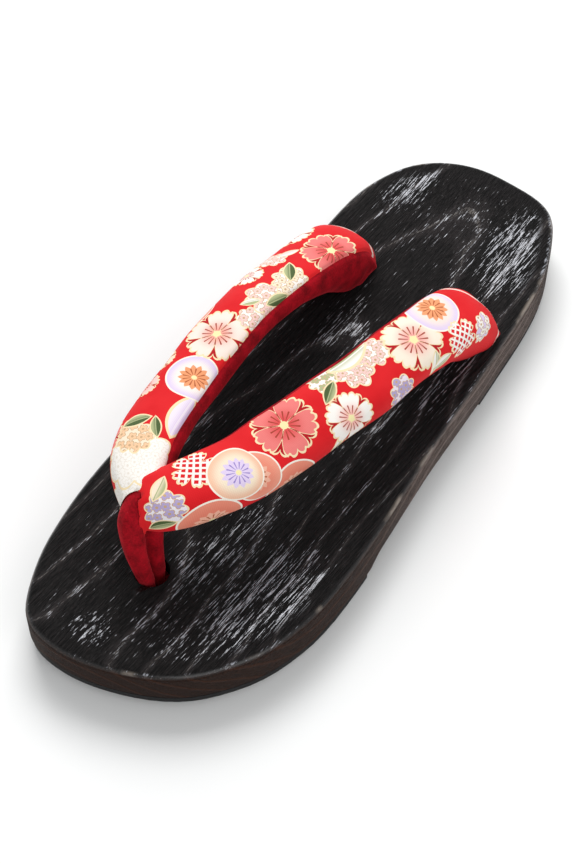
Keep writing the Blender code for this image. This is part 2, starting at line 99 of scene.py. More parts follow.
# Thong from the front hole, up before the join, over it and back to the hole. Columns: height as a share
# from the deck up to the join's middle, how far it lies towards the hole as a share, forward of that as a
# share of JOIN_HALF_WIDTH, thickness as a share of the thong's own.
THONG = (
    (-0.34, 1.00, 0.30, 0.58),
    (-0.10, 1.00, 0.36, 0.66),
    (0.00, 1.00, 0.40, 0.72),
    (0.12, 1.00, 0.50, 0.76),
    (0.32, 0.92, 0.64, 0.80),
    (0.56, 0.70, 0.82, 0.88),
    (0.78, 0.42, 0.90, 1.00),
    (0.97, 0.16, 0.88, 1.08),
    (1.09, 0.04, 0.60, 1.04),
    (1.14, 0.00, 0.16, 1.00),
    (1.12, 0.00, -0.34, 1.00),
    (1.03, 0.00, -0.66, 0.96),
    (0.87, 0.14, -0.62, 0.90),
    (0.66, 0.38, -0.44, 0.84),
    (0.42, 0.70, -0.34, 0.78),
    (0.17, 0.95, -0.32, 0.74),
    (0.00, 1.00, -0.34, 0.70),
    (-0.10, 1.00, -0.34, 0.64),
    (-0.34, 1.00, -0.30, 0.58),
)
THONG_HALF_WIDTH = 0.0040
THONG_HALF_DEPTH = 0.0036
THONG_STATIONS = 170
THONG_SIDES = 40
THONG_SWELL = 0.025
KNOT_HEIGHT = 0.0048
KNOT_RING_RADIUS = 0.0046
KNOT_CORD_RADIUS = 0.0022
KNOT_STEPS = 40
KNOT_SIDES = 16

# Turned-in edge of the thong: degrees round it, and its ridge and hollow as shares of the radius
FOLD_DEGREES = 272
FOLD_RIDGE = 0.075
FOLD_HOLLOW = 0.085

# The cloth runs from the seam on the arm's foot side over the crown to the seam under its outer edge, in
# degrees round the section, and velvet lines the rest.
INNER_SEAM = 158
OUTER_SEAM = -62

# Rings along an arm, how they crowd towards its rear end, and steps round the cloth and round the lining
ARM_STATIONS = 150
ARM_CROWDING = 1.15
CLOTH_STEPS = 36
LINING_STEPS = 22

# How the arms lie: pressed off the thong where it runs more than this share of JOIN_HALF_WIDTH in front of
# the join, with a room of this many times THONG_HALF_WIDTH, at least this far over the deck, and with a
# middle line that ends at most this far below it
FRONT_RUN = 0.30
THONG_ROOM = 1.10
REST_GAP = 0.2 * MM
END_DEPTH = 4.0 * MM

# Unevenness of an arm: the dip along each seam, two waves of the stuffing, the folds at both ends, and the
# lining's sag towards the rear, with the shares of the run where it starts and over which it grows
SEAM_DIP = 0.55 * MM
LUMPS = 0.22 * MM
FINE_LUMPS = 0.12 * MM
END_FOLDS = 0.40 * MM
SAG = 1.1
SAG_START = 0.72
SAG_RUN = 0.20

# Edges of the wood that turn by more than this many degrees stay sharp
SHARP_ANGLE = 32

# Floor, a little under the rubber, and lamps. Columns: name, place, side of the square in metres, watts.
FLOOR_LEVEL = -0.05 * MM
FLOOR_REACH = 3
LAMPS = (
    ("key", (-0.55, 0.65, 1.10), 0.9, 16),
    ("fill", (0.9, -0.5, 0.9), 1.2, 5),
)
LAMPS_AIM = (0, 0, 0.02)


def linear(code):
    """A colour from its sRGB hex code, as the shader wants it."""
    channels = [int(code[i:i + 2], 16) / 255 for i in (1, 3, 5)]
    return tuple(c / 12.92 if c <= 0.04045 else ((c + 0.055) / 1.055) ** 2.4 for c in channels) + (1.0,)


def add_node(tree, kind, inputs=(), out=0, **settings):
    """Add a node with its settings, set or link its inputs, and return the wanted output or the node."""
    node = tree.nodes.new("ShaderNode" + kind)
    for name, value in settings.items():
        setattr(node, name, value)
    for key, value in inputs.items() if isinstance(inputs, dict) else enumerate(inputs):
        socket = node.inputs[key]
        if isinstance(value, bpy.types.NodeSocket):
            tree.links.new(value, socket)
        else:
            socket.default_value = value
    return node.outputs[out] if out is not None else node


def maths(tree, operation, *values):
    """Output of a Math node."""
    return add_node(tree, "Math", values, operation=operation)


def smooth_value(places, values, place):
    """A smooth curve through (place, value) pairs, by cubic Hermite spans."""
    places = np.asarray(places, float)
    values = np.asarray(values, float)
    slopes = np.gradient(values, places)
    place = np.clip(place, places[0], places[-1])
    span = int(np.clip(np.searchsorted(places, place) - 1, 0, len(places) - 2))
    width = places[span + 1] - places[span]
    u = (place - places[span]) / width
    start = values[span] * (1 + 2 * u) * (1 - u) ** 2 + slopes[span] * width * u * (1 - u) ** 2
    end = values[span + 1] * u * u * (3 - 2 * u) + slopes[span + 1] * width * u * u * (u - 1)
    return float(start + end)


def arm_row(arm, share):
    """Bow, height, width, thickness and lean of an arm at a share of its run."""
    places = [row[0] for row in ARMS]
    return [smooth_value(places, [row[k] for row in ARMS], share) for k in ARM_COLUMNS[arm]]


def arm_centre(arm, share):
    """Middle of an arm's section at a share of its run."""
    side = -1 if arm == "inner" else 1
    start = np.array(JOIN)
    end = np.array([REAR_HOLE_MIDDLE_X + side * REAR_HOLE_SPREAD / 2, REAR_HOLE_Y, DECK_AT_REAR_HOLES])
    bow, height = arm_row(arm, share)[:2]
    x, y = start[:2] + (end - start)[:2] * share
    return np.array([x + side * bow * BOW[arm], y, end[2] + (start[2] - end[2]) * height])


def section_angles():
    """Angles round the section: over the cloth from the outer seam to the inner, then under the lining."""
    cloth = np.linspace(OUTER_SEAM, INNER_SEAM, CLOTH_STEPS + 1)
    lining = np.linspace(INNER_SEAM, 360 + OUTER_SEAM, LINING_STEPS + 1)[1:-1]
    return np.concatenate([cloth, lining])


def section_point(angle, width, thickness):
    """Across and up from the section's middle, in metres."""
    c = math.cos(math.radians(angle))
    s = math.sin(math.radians(angle))
    depth = thickness * (STRAP_CROWN if s > 0 else STRAP_LINING)
    x = width * STRAP_WIDTH / 2 * math.copysign(abs(c) ** (2 / SECTION_POWER), c)
    return x, depth * math.copysign(abs(s) ** (2 / SECTION_POWER), s)


def deck_below(x, y):
    """Height of the deck under a point, also over a hole."""
    hit = deck_tree.ray_cast(Vector((x, y, 0.1)), Vector((0, 0, -1)))[0]
    return hit.z if hit and hit.z > INSIDE_A_HOLE else DECK_AT_REAR_HOLES


def settle(place, side):
    """Press a point of an arm off the front of the thong, and keep it just above the deck."""
    away = place - thong_front
    nearest = away[np.argmin(np.linalg.norm(away, axis=1))]
    distance = np.linalg.norm(nearest)
    room = THONG_ROOM * THONG_HALF_WIDTH
    if distance < room:
        beside = math.hypot(*nearest[1:])
        across = math.sqrt(room ** 2 - nearest[1] ** 2 - nearest[2] ** 2) if room > beside else 0
        place = place + np.array([side * across - nearest[0], 0, 0])
    floor_z = deck_below(place[0], place[1]) + REST_GAP
    return np.array([place[0], place[1], max(place[2], floor_z)])


def smooth_path(rows, count):
    """Evenly spaced rows along a Catmull-Rom curve through rows whose first three values are a place."""
    rows = np.array(rows, float)
    ends = np.concatenate([[2 * rows[0] - rows[1]], rows, [2 * rows[-1] - rows[-2]]])
    fine = []
    for p0, p1, p2, p3 in zip(ends, ends[1:], ends[2:], ends[3:]):
        for u in np.linspace(0, 1, 20, endpoint=False):
            bend = (2 * p0 - 5 * p1 + 4 * p2 - p3) * u * u + (3 * p1 - p0 - 3 * p2 + p3) * u ** 3
            fine.append(p1 + (p2 - p0) * u / 2 + bend / 2)
    fine = np.array(fine + [rows[-1]])
    run = np.concatenate([[0], np.cumsum(np.linalg.norm(np.diff(fine[:, :3], axis=0), axis=1))])
    wanted = np.linspace(0, run[-1], count)
    return np.stack([np.interp(wanted, run, fine[:, k]) for k in range(fine.shape[1])], axis=1)


def thong_path():
    """The thong's middle line and its thickness, from the knot under the deck and back."""
    join = np.array(JOIN)
    hole = np.array([*FRONT_HOLE, DECK_AT_FRONT_HOLE])
    rows = []
    for height, towards_hole, forward, share in THONG:
        x, y = join[:2] + (hole - join)[:2] * towards_hole
        rows.append((x, y - forward * JOIN_HALF_WIDTH, hole[2] + (join[2] - hole[2]) * height, share))
    return smooth_path(rows, THONG_STATIONS)


def skin(bm, rings):
    """Faces between rings of vertices, with both ends closed."""
    for lower, upper in zip(rings, rings[1:]):
        for i in range(len(lower)):
            n = (i + 1) % len(lower)
            bm.faces.new((lower[i], lower[n], upper[n], upper[i]))
    bm.faces.new(rings[0][::-1])
    bm.faces.new(rings[-1])


def thong_tube(bm, path):
    """The thong's soft tube along its path, with the fold of its turned-in edge."""
    tangents = np.gradient(path[:, :3], axis=0)
    rings = []
    for k, ((x, y, z, share), along) in enumerate(zip(path, tangents)):
        along = along / np.linalg.norm(along)
        across = np.array([1.0, 0.0, 0.0]) - along * along[0]
        across /= np.linalg.norm(across)
        out = np.cross(along, across)
        ring = []
        for i in range(THONG_SIDES):
            degrees = 360 * i / THONG_SIDES
            swell = 1 + THONG_SWELL * math.sin(k / 7.3 + math.radians(2 * degrees))
            off = (degrees - FOLD_DEGREES + 180) % 360 - 180
            ridge = FOLD_RIDGE * math.exp(-(off / 9) ** 2)
            swell += ridge - FOLD_HOLLOW * math.exp(-((off - 24) / 11) ** 2)
            angle = math.radians(degrees)
            wide = across * math.cos(angle) * share * THONG_HALF_WIDTH * swell
            deep = out * math.sin(angle) * share * THONG_HALF_DEPTH * swell
            ring.append(bm.verts.new(wide + deep + (x, y, z)))
        rings.append(ring)
    skin(bm, rings)


def make_thong(material):
    """The velvet thong, with a flat ring knot under the deck."""
    bm = bmesh.new()
    thong_tube(bm, thong_path())
    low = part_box("front_thong")[0][2]
    knot = []
    for turn in np.linspace(20, 335, KNOT_STEPS):
        angle = math.radians(turn)
        x = FRONT_HOLE[0] + KNOT_RING_RADIUS * math.cos(angle)
        y = FRONT_HOLE[1] + KNOT_RING_RADIUS * math.sin(angle)
        knot.append((x, y, low + KNOT_HEIGHT / 2))
    ring_tube(bm, np.array(knot), KNOT_CORD_RADIUS)
    bmesh.ops.recalc_face_normals(bm, faces=bm.faces)
    return finish_mesh("velvet_thong", bm, [material])


def ring_tube(bm, path, radius):
    """A round tube along a level curve."""
    rings = []
    for place, along in zip(path, np.gradient(path, axis=0)):
        side = np.array([along[1], -along[0], 0]) / math.hypot(along[0], along[1])
        ring = []
        for i in range(KNOT_SIDES):
            angle = math.tau * i / KNOT_SIDES
            offset = side * math.cos(angle) + np.array([0, 0, math.sin(angle)])
            ring.append(bm.verts.new(place + radius * offset))
        rings.append(ring)
    skin(bm, rings)


def make_arm(arm, materials):
    """A padded arm: printed cloth over the crown and outer side, velvet on the foot side and underneath."""
    side = -1 if arm == "inner" else 1
    first = ARMS[0][0]
    shares = [1 - (1 - first) * (1 - i / (ARM_STATIONS - 1)) ** ARM_CROWDING for i in range(ARM_STATIONS)]
    shares = [share for share in shares if arm_centre(arm, share)[2] > DECK_AT_REAR_HOLES - END_DEPTH]
    centres = np.array([arm_centre(arm, share) for share in shares])
    run = np.concatenate([[0], np.cumsum(np.linalg.norm(np.diff(centres, axis=0), axis=1))])
    tangents = np.gradient(centres, axis=0)
    angles = section_angles()
    top = int(np.argmin(abs(angles - 90)))
    bm = bmesh.new()
    uv_layer = bm.loops.layers.uv.new("cloth")
    rings = []
    places = []
    for share, centre, along, s in zip(shares, centres, tangents, run):
        width, thickness, lean = arm_row(arm, share)[2:]
        along = along / np.linalg.norm(along)
        plan = np.array([along[0], along[1], 0]) / math.hypot(along[0], along[1])
        outward = np.array([plan[1], -plan[0], 0]) * side
        up = np.cross(outward, along) * side
        turn = math.radians(lean)
        wide = outward * math.cos(turn) - up * math.sin(turn)
        high = up * math.cos(turn) + outward * math.sin(turn)
        flat = np.array([section_point(angle, width, thickness) for angle in angles])
        arc = np.concatenate([[0], np.cumsum(np.linalg.norm(np.diff(flat, axis=0), axis=1))])
        arc = arc[top] - arc
        flat = relief(flat, angles, arc, s, run[-1], side)
        sag = 1 + SAG * min(max((share - SAG_START) / SAG_RUN, 0), 1)
        flat = [(x, z * sag if z < 0 else z) for x, z in flat]
        places_3d = [settle(centre + wide * x + high * z, side) for x, z in flat]
        rings.append([bm.verts.new(place) for place in places_3d])
        places.append([(s, across) for across in arc])
    count = len(angles)
    for i in range(len(rings) - 1):
        for k in range(count):
            n = (k + 1) % count
            face = bm.faces.new((rings[i][k], rings[i][n], rings[i + 1][n], rings[i + 1][k]))
            face.material_index = 0 if k < CLOTH_STEPS else 1
            for loop, (a, b) in zip(face.loops, ((i, k), (i, n), (i + 1, n), (i + 1, k))):
                u, v = places[a][b]
                if n == 0 and b == 0:
                    v = 2 * places[a][-1][1] - places[a][-2][1]
                loop[uv_layer].uv = (u / MM, v / MM)
    for ring, flip in ((rings[0], True), (rings[-1], False)):
        cap = bm.faces.new(ring[::-1] if flip else ring)
        cap.material_index = 1
    bmesh.ops.recalc_face_normals(bm, faces=bm.faces)
    return finish_mesh("strap_" + arm + "_arm", bm, materials)


def relief(flat, angles, arc, s, length, side):
    """Soft unevenness of the stuffing, the dip at the two seams, and folds where the cloth is gathered."""
    moved = []
    for (x, z), angle, across in zip(flat, angles, arc):
        to_seam = min(abs((angle - seam + 180) % 360 - 180) for seam in (INNER_SEAM, OUTER_SEAM))
        dip = SEAM_DIP * math.exp(-(to_seam / 5.0) ** 2)
        run = s / MM
        turn = math.radians(angle)
        lumps = LUMPS * math.sin(run / 9.1 + 2.0 * side) * math.sin(turn * 2 + run / 23)
        lumps += FINE_LUMPS * math.sin(run / 4.3 + across / MM / 3.1)
        front = math.exp(-(run / 11) ** 2)
        rear = math.exp(-((length - s) / MM / 9) ** 2)
        folds = END_FOLDS * (front + 0.8 * rear) * math.cos(turn * 9 + side)
        size = math.hypot(x, z)
        keep = 1 + (lumps + folds - dip) / max(size, MM)
        moved.append((x * keep, z * keep))
    return moved


def finish_mesh(name, bm, materials, angle=180):
    """An object from the finished faces, smooth but for edges that turn by more than the angle in degrees."""
    mesh = bpy.data.meshes.new(name)
    bm.to_mesh(mesh)
    bm.free()
    for material in materials:
        mesh.materials.append(material)
    mesh.shade_smooth()
    if angle < 180:
        mesh.set_sharp_from_angle(angle=math.radians(angle))
    obj = bpy.data.objects.new(name, mesh)
    bpy.context.scene.collection.objects.link(obj)
    return obj


def smooth_copy(node, name, material):
    """The CAD solid's own faces, joined and smoothly shaded."""
    bm = bmesh.new()
    bm.from_mesh(nodes[node].data)
    bmesh.ops.remove_doubles(bm, verts=bm.verts, dist=2e-6)
    return finish_mesh(name, bm, [material], SHARP_ANGLE)


def new_material(name):
    """A new material, its node tree and its shader."""
    material = bpy.data.materials.new(name)
    material.use_nodes = True
    return material, material.node_tree, material.node_tree.nodes["Principled BSDF"]


def connect(tree, shader, values):
    """Set or link the shader's sockets."""
    for name, value in values.items():
        if isinstance(value, bpy.types.NodeSocket):
            tree.links.new(value, shader.inputs[name])
        else:
            shader.inputs[name].default_value = value


# Printed shapes. Each group lays one shape over the cloth's colour. Place and Centre are in mm of cloth,
# along the arm and across it, and Size is the shape's radius or half length in mm.

def shape_group(name, colours):
    """Begin a group: its tree and inputs, and radius, angle, x and y from the shape's centre in its size."""
    tree = bpy.data.node_groups.new(name, "ShaderNodeTree")
    sockets = [("Cloth", "Color"), ("Place", "Vector"), ("Centre", "Vector"), ("Size", "Float")]
    sockets += [("Turn", "Float")] + [(colour, "Color") for colour in colours]
    for label, kind in sockets:
        tree.interface.new_socket(label, in_out="INPUT", socket_type="NodeSocket" + kind)
    tree.interface.new_socket("Cloth", in_out="OUTPUT", socket_type="NodeSocketColor")
    start = tree.nodes.new("NodeGroupInput").outputs
    away = add_node(tree, "VectorMath", [start["Place"], start["Centre"]], operation="SUBTRACT")
    turned = add_node(tree, "VectorRotate", {"Vector": away, "Angle": start["Turn"]}, rotation_type="Z_AXIS")
    size = add_node(tree, "CombineXYZ", [start["Size"], start["Size"], 1.0])
    scaled = add_node(tree, "VectorMath", [turned, size], operation="DIVIDE")
    radius = add_node(tree, "VectorMath", [scaled], out="Value", operation="LENGTH")
    split = add_node(tree, "SeparateXYZ", [scaled], out=None).outputs
    angle = maths(tree, "ARCTAN2", split["Y"], split["X"])
    return tree, start, radius, angle, split["X"], split["Y"]


def lay(tree, under, mask, colour):
    """One colour over another where the mask is 1."""
    return add_node(tree, "Mix", {0: mask, 6: under, 7: colour}, out=2, data_type="RGBA")


def close_group(tree, colour):
    """End a group on its last colour."""
    end = tree.nodes.new("NodeGroupOutput")
    tree.links.new(colour, end.inputs["Cloth"])
    return tree


def petal_edge(tree, phase):
    """Radius of a notched cherry petal's edge, from the gap between two (0) to its middle (0.5)."""
    node = add_node(tree, "FloatCurve", {1: phase}, out=None)
    curve = node.mapping.curves[0]
    for place, value in ((0.06, 0.66), (0.14, 0.90), (0.21, 0.97), (0.26, 0.92), (0.34, 1.00), (0.42, 0.98)):
        curve.points.new(place, value)
    curve.points[0].location = (0.0, 0.46)
    curve.points[-1].location = (0.5, 0.84)
    node.mapping.update()
    return node.outputs[0]


def blossom_group():
    """Cherry blossom: five notched petals over five red ones that show as hearts, gold lines and stamens."""
    tree, start, radius, angle, *_ = shape_group("cherry_blossom", ("Petal", "Heart"))
    fifths = maths(tree, "MULTIPLY", angle, 5 / math.tau)
    phase = maths(tree, "PINGPONG", fifths, 0.5)
    between = maths(tree, "SUBTRACT", 0.5, phase)
    inside = maths(tree, "SUBTRACT", petal_edge(tree, phase), radius)
    behind = maths(tree, "SUBTRACT", petal_edge(tree, between), radius)
    fill = maths(tree, "GREATER_THAN", inside, 0.0)
    back = maths(tree, "GREATER_THAN", behind, 0.0)
    line = maths(tree, "COMPARE", inside, 0.01, 0.038)
    back_line = maths(tree, "COMPARE", behind, 0.03, 0.034)
    fade = add_node(tree, "MapRange", [radius, 0.12, 0.72], interpolation_type="SMOOTHSTEP")
    petal = lay(tree, start["Heart"], fade, start["Petal"])
    ray = maths(tree, "MULTIPLY", angle, 15 / math.tau)
    ray = maths(tree, "PINGPONG", ray, 0.5)
    ray = maths(tree, "LESS_THAN", ray, 0.13)
    reach = maths(tree, "COMPARE", radius, 0.33, 0.15)
    ray = maths(tree, "MULTIPLY", ray, reach)
    crease = maths(tree, "MULTIPLY", phase, radius)
    crease = maths(tree, "LESS_THAN", crease, 0.018)
    eye = maths(tree, "LESS_THAN", radius, 0.13)
    petal = lay(tree, petal, crease, linear(GOLD_LINE))
    petal = lay(tree, petal, ray, linear(STAMEN))
    petal = lay(tree, petal, eye, linear("#f6eab0"))
    colour = lay(tree, start["Cloth"], back, linear("#b8141f"))
    colour = lay(tree, colour, back_line, linear(GOLD_LINE))
    colour = lay(tree, colour, fill, petal)
    colour = lay(tree, colour, line, linear(GOLD_LINE))
    return close_group(tree, colour)


def medallion_group():
    """A round field, shaded towards its rim, with a many-petalled flower in its middle."""
    tree, start, radius, angle, *_ = shape_group("flower_medallion", ("Rim", "Field", "Petal", "Heart"))
    disc = maths(tree, "LESS_THAN", radius, 1.0)
    line = maths(tree, "COMPARE", radius, 0.975, 0.030)
    shade = add_node(tree, "MapRange", [radius, 0.55, 0.95], interpolation_type="SMOOTHSTEP")
    field = lay(tree, start["Field"], shade, start["Rim"])
    ray = maths(tree, "MULTIPLY", angle, 13 / math.tau)
    ray = maths(tree, "PINGPONG", ray, 0.5)
    edge = maths(tree, "MULTIPLY_ADD", ray, 0.28, 0.44)
    flower = maths(tree, "LESS_THAN", radius, edge)
    thin = maths(tree, "LESS_THAN", ray, 0.14)
    reach = maths(tree, "COMPARE", radius, 0.27, 0.14)
    thin = maths(tree, "MULTIPLY", thin, reach)
    eye = maths(tree, "LESS_THAN", radius, 0.10)
    field = lay(tree, field, flower, start["Petal"])
    field = lay(tree, field, thin, start["Heart"])
    field = lay(tree, field, eye, linear("#f6eab0"))
    colour = lay(tree, start["Cloth"], disc, field)
    colour = lay(tree, colour, line, linear("#fbf2e4"))
    return close_group(tree, colour)


def cloud_group():
    """A crowded head of small flowers: a scalloped pale patch with tinted spots."""
    tree, start, radius, angle, *_ = shape_group("flower_cloud", ("Fill", "Tint", "Line"))
    lobes = maths(tree, "MULTIPLY_ADD", angle, 4.5, 1.0)
    lobes = maths(tree, "SINE", lobes)
    lobes = maths(tree, "ABSOLUTE", lobes)
    uneven = maths(tree, "MULTIPLY_ADD", angle, 2.0, 0.4)
    uneven = maths(tree, "SINE", uneven)
    edge = maths(tree, "MULTIPLY_ADD", lobes, -0.20, radius)
    edge = maths(tree, "MULTIPLY_ADD", uneven, 0.10, edge)
    patch = maths(tree, "LESS_THAN", edge, 0.80)
    line = maths(tree, "COMPARE", edge, 0.785, 0.035)
    # Florets 3 mm apart, each with five petals drawn in a thin line
    cells = add_node(tree, "TexVoronoi", {"Vector": start["Place"], "Scale": 0.33, "Randomness": 0.45},
                     out="Position", voronoi_dimensions="2D")
    local = add_node(tree, "VectorMath", [start["Place"], cells], operation="SUBTRACT")
    reach = add_node(tree, "VectorMath", [local], out="Value", operation="LENGTH")
    split = add_node(tree, "SeparateXYZ", [local], out=None).outputs
    bearing = maths(tree, "ARCTAN2", split["Y"], split["X"])
    bearing = maths(tree, "MULTIPLY", bearing, 2.5)
    bearing = maths(tree, "SINE", bearing)
    bearing = maths(tree, "ABSOLUTE", bearing)
    petal = maths(tree, "MULTIPLY_ADD", bearing, 0.55, 1.0)
    inside = maths(tree, "SUBTRACT", petal, reach)
    floret = maths(tree, "GREATER_THAN", inside, 0.0)
    drawn = maths(tree, "COMPARE", inside, 0.0, 0.13)
    core = maths(tree, "LESS_THAN", reach, 0.42)
    fill = lay(tree, start["Fill"], floret, start["Tint"])
    fill = lay(tree, fill, drawn, start["Line"])
    fill = lay(tree, fill, core, start["Line"])
    colour = lay(tree, start["Cloth"], patch, fill)
    colour = lay(tree, colour, line, linear(GOLD_LINE))
    return close_group(tree, colour)


def leaf_group():
    """A pointed leaf or petal in two tones, with a vein and a pale line round it."""
    tree, start, radius, _, x, y = shape_group("leaf", ("Fill", "Edge"))
    bow = maths(tree, "MULTIPLY", x, x)
    half = maths(tree, "MULTIPLY_ADD", bow, -0.42, 0.42)
    off = maths(tree, "ABSOLUTE", y)
    inside = maths(tree, "SUBTRACT", half, off)
    fill = maths(tree, "GREATER_THAN", inside, 0.0)
    line = maths(tree, "COMPARE", inside, 0.0, 0.055)
    near = maths(tree, "LESS_THAN", radius, 1.08)
    line = maths(tree, "MULTIPLY", line, near)
    side = add_node(tree, "MapRange", [y, -0.12, 0.30], interpolation_type="SMOOTHSTEP")
    tone = lay(tree, start["Fill"], side, start["Edge"])
    vein = maths(tree, "LESS_THAN", off, 0.035)
    tone = lay(tree, tone, vein, start["Edge"])
    colour = lay(tree, start["Cloth"], fill, tone)
    colour = lay(tree, colour, line, linear(GOLD_LINE))
    return close_group(tree, colour)


def net_group():
    """A blossom drawn as a pale net over the red ground."""
    tree, start, radius, angle, x, y = shape_group("netted_blossom", ("Line",))
    fifths = maths(tree, "MULTIPLY", angle, 5 / math.tau)
    phase = maths(tree, "PINGPONG", fifths, 0.5)
    inside = maths(tree, "SUBTRACT", petal_edge(tree, phase), radius)
    fill = maths(tree, "GREATER_THAN", inside, 0.0)
    line = maths(tree, "COMPARE", inside, 0.02, 0.055)
    rising = maths(tree, "ADD", x, y)
    rising = maths(tree, "PINGPONG", rising, 0.20)
    falling = maths(tree, "SUBTRACT", x, y)
    falling = maths(tree, "PINGPONG", falling, 0.20)
    thread = maths(tree, "MINIMUM", rising, falling)
    thread = maths(tree, "LESS_THAN", thread, 0.075)
    thread = maths(tree, "MULTIPLY", thread, fill)
    colour = lay(tree, start["Cloth"], thread, start["Line"])
    colour = lay(tree, colour, line, linear(GOLD_LINE))
    return close_group(tree, colour)


def printed_cloth(name, prints, rim_highlight_place, rim_highlight_slant):
    """Printed cotton: dyed red ground under opaque pastel prints, a painted highlight near the arm's
    rear end where light grazes the cloth, a plain weave, and a soft dry surface."""
    material, tree, shader = new_material(name)
    uv = add_node(tree, "UVMap", uv_map="cloth")
    drift = add_node(tree, "TexNoise", {"Vector": uv, "Scale": 0.09, "Detail": 2.0}, out="Fac")
    tone = add_node(tree, "MapRange", [drift, 0.35, 0.65])
    colour = lay(tree, linear("#da131c"), tone, linear("#e21e24"))
    for group, along, across, size, turn, *colours in prints:
        node = tree.nodes.new("ShaderNodeGroup")
        node.node_tree = SHAPES[group]
        tree.links.new(colour, node.inputs["Cloth"])
        tree.links.new(uv, node.inputs["Place"])
        node.inputs["Centre"].default_value = (along, across, 0)
        node.inputs["Size"].default_value = size
        node.inputs["Turn"].default_value = math.radians(turn)
        for socket, code in zip(node.inputs[5:], colours):
            socket.default_value = linear(code)
        colour = node.outputs["Cloth"]
    # Painted highlight: a pale line across the cloth near the arm's rear end, where light grazes it
    split = add_node(tree, "SeparateXYZ", [uv], out=None).outputs
    edge = maths(tree, "MULTIPLY_ADD", split["Y"], rim_highlight_slant, split["X"])
    edge = maths(tree, "COMPARE", edge, rim_highlight_place, RIM_HIGHLIGHT_HALF_WIDTH)
    colour = lay(tree, colour, edge, linear("#f7e0d4"))
    # Threads 0.5 mm apart, coarser than real cloth, so that the weave shows
    threads = {"Vector": uv, "Scale": 0.63}
    warp = add_node(tree, "TexWave", threads, out="Fac", bands_direction="X")
    weft = add_node(tree, "TexWave", threads, out="Fac", bands_direction="Y")
    weave = maths(tree, "MULTIPLY", warp, weft)
    crumple = add_node(tree, "TexNoise", {"Vector": uv, "Scale": 0.45, "Detail": 3.0}, out="Fac")
    height = maths(tree, "MULTIPLY_ADD", crumple, 2.2, weave)
    bump = add_node(tree, "Bump", {"Strength": 0.25, "Distance": 0.00010, "Height": height})
    shade = add_node(tree, "MapRange", [weave, 0.0, 1.0, 0.90, 1.0])
    colour = add_node(tree, "Mix", {0: 1.0, 6: colour, 7: shade}, out=2, data_type="RGBA",
                      blend_type="MULTIPLY")
    connect(tree, shader, {"Base Color": colour, "Roughness": 0.78, "Specular IOR Level": 0.20,
                           "Normal": bump, "Sheen Weight": 0.03, "Sheen Roughness": 0.5})
    return material


def velvet_material():
    """Cotton velvet: a deep red short pile that goes pale at grazing angles, with brushed patches."""
    material, tree, shader = new_material("red_velvet")
    place = add_node(tree, "TexCoord", out="Object")
    pile = add_node(tree, "TexNoise", {"Vector": place, "Scale": 1600.0, "Detail": 2.0}, out="Fac")
    brushed = add_node(tree, "TexNoise", {"Vector": place, "Scale": 190.0, "Detail": 2.0}, out="Fac")
    mixed = maths(tree, "MULTIPLY_ADD", pile, 0.55, brushed)
    tone = add_node(tree, "MapRange", [mixed, 0.55, 1.0])
    colour = lay(tree, linear("#6d0610"), tone, linear("#b40f20"))
    bump = add_node(tree, "Bump", {"Strength": 0.5, "Distance": 0.00015, "Height": pile})
    connect(tree, shader, {"Base Color": colour, "Roughness": 0.92, "Specular IOR Level": 0.12,
                           "Normal": bump, "Sheen Weight": 0.55, "Sheen Roughness": 0.35,
                           "Sheen Tint": linear("#ff4a55")})
    return material


